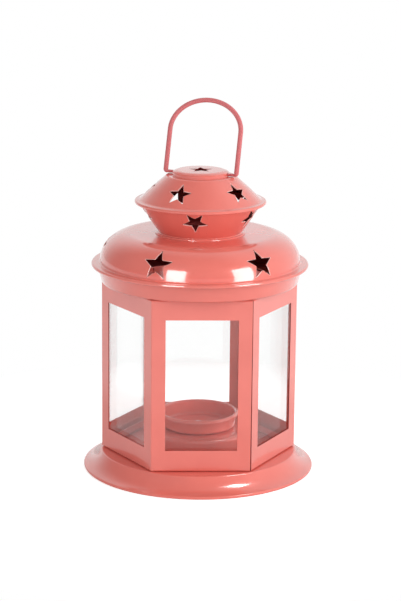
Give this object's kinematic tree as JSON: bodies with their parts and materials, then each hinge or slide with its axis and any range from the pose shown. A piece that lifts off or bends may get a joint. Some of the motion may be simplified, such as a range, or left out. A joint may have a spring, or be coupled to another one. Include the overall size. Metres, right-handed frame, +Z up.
{
  "type": "lantern",
  "caption": "Hexagonal glazed tealight lantern of painted sheet steel with a flared round base, candle cup, star-pierced domed roof and conical cap, and a swinging wire bail.",
  "frame": {"origin": "on the ground under the middle of the base", "axes": "+Z up along the lantern's axis, -Y towards the front face of the body, +X to the viewer's right"},
  "size_m": [0.13, 0.13, 0.2081],
  "materials": {
    "paint": "gloss coral powder coat",
    "rivet": "satin",
    "glass": "clear"
  },
  "bodies": {
    "base": {"base_plate": "paint", "candle_cup": "paint", "cup_rivet": "rivet"},
    "upper": {"body_frame": "paint", "glass_pane_1": "glass", "glass_pane_2": "glass", "glass_pane_3": "glass", "glass_pane_4": "glass", "glass_pane_5": "glass", "glass_pane_6": "glass", "collar_ring": "paint", "roof_dome": "paint", "throat_funnel": "paint", "top_cap": "paint"},
    "bail": {"bail_handle": "paint"}
  },
  "joints": [
    {"name": "lift_off", "type": "slide", "parent": "base", "child": "upper", "axis": [0, 0, 1], "range_m": [0, 0.12]},
    {"name": "bail_swing", "type": "hinge", "parent": "upper", "child": "bail", "pos_m": [0, 0, 0.16795], "axis": [0.9397, -0.342, 0], "range_deg": [-82, 118]}
  ]
}
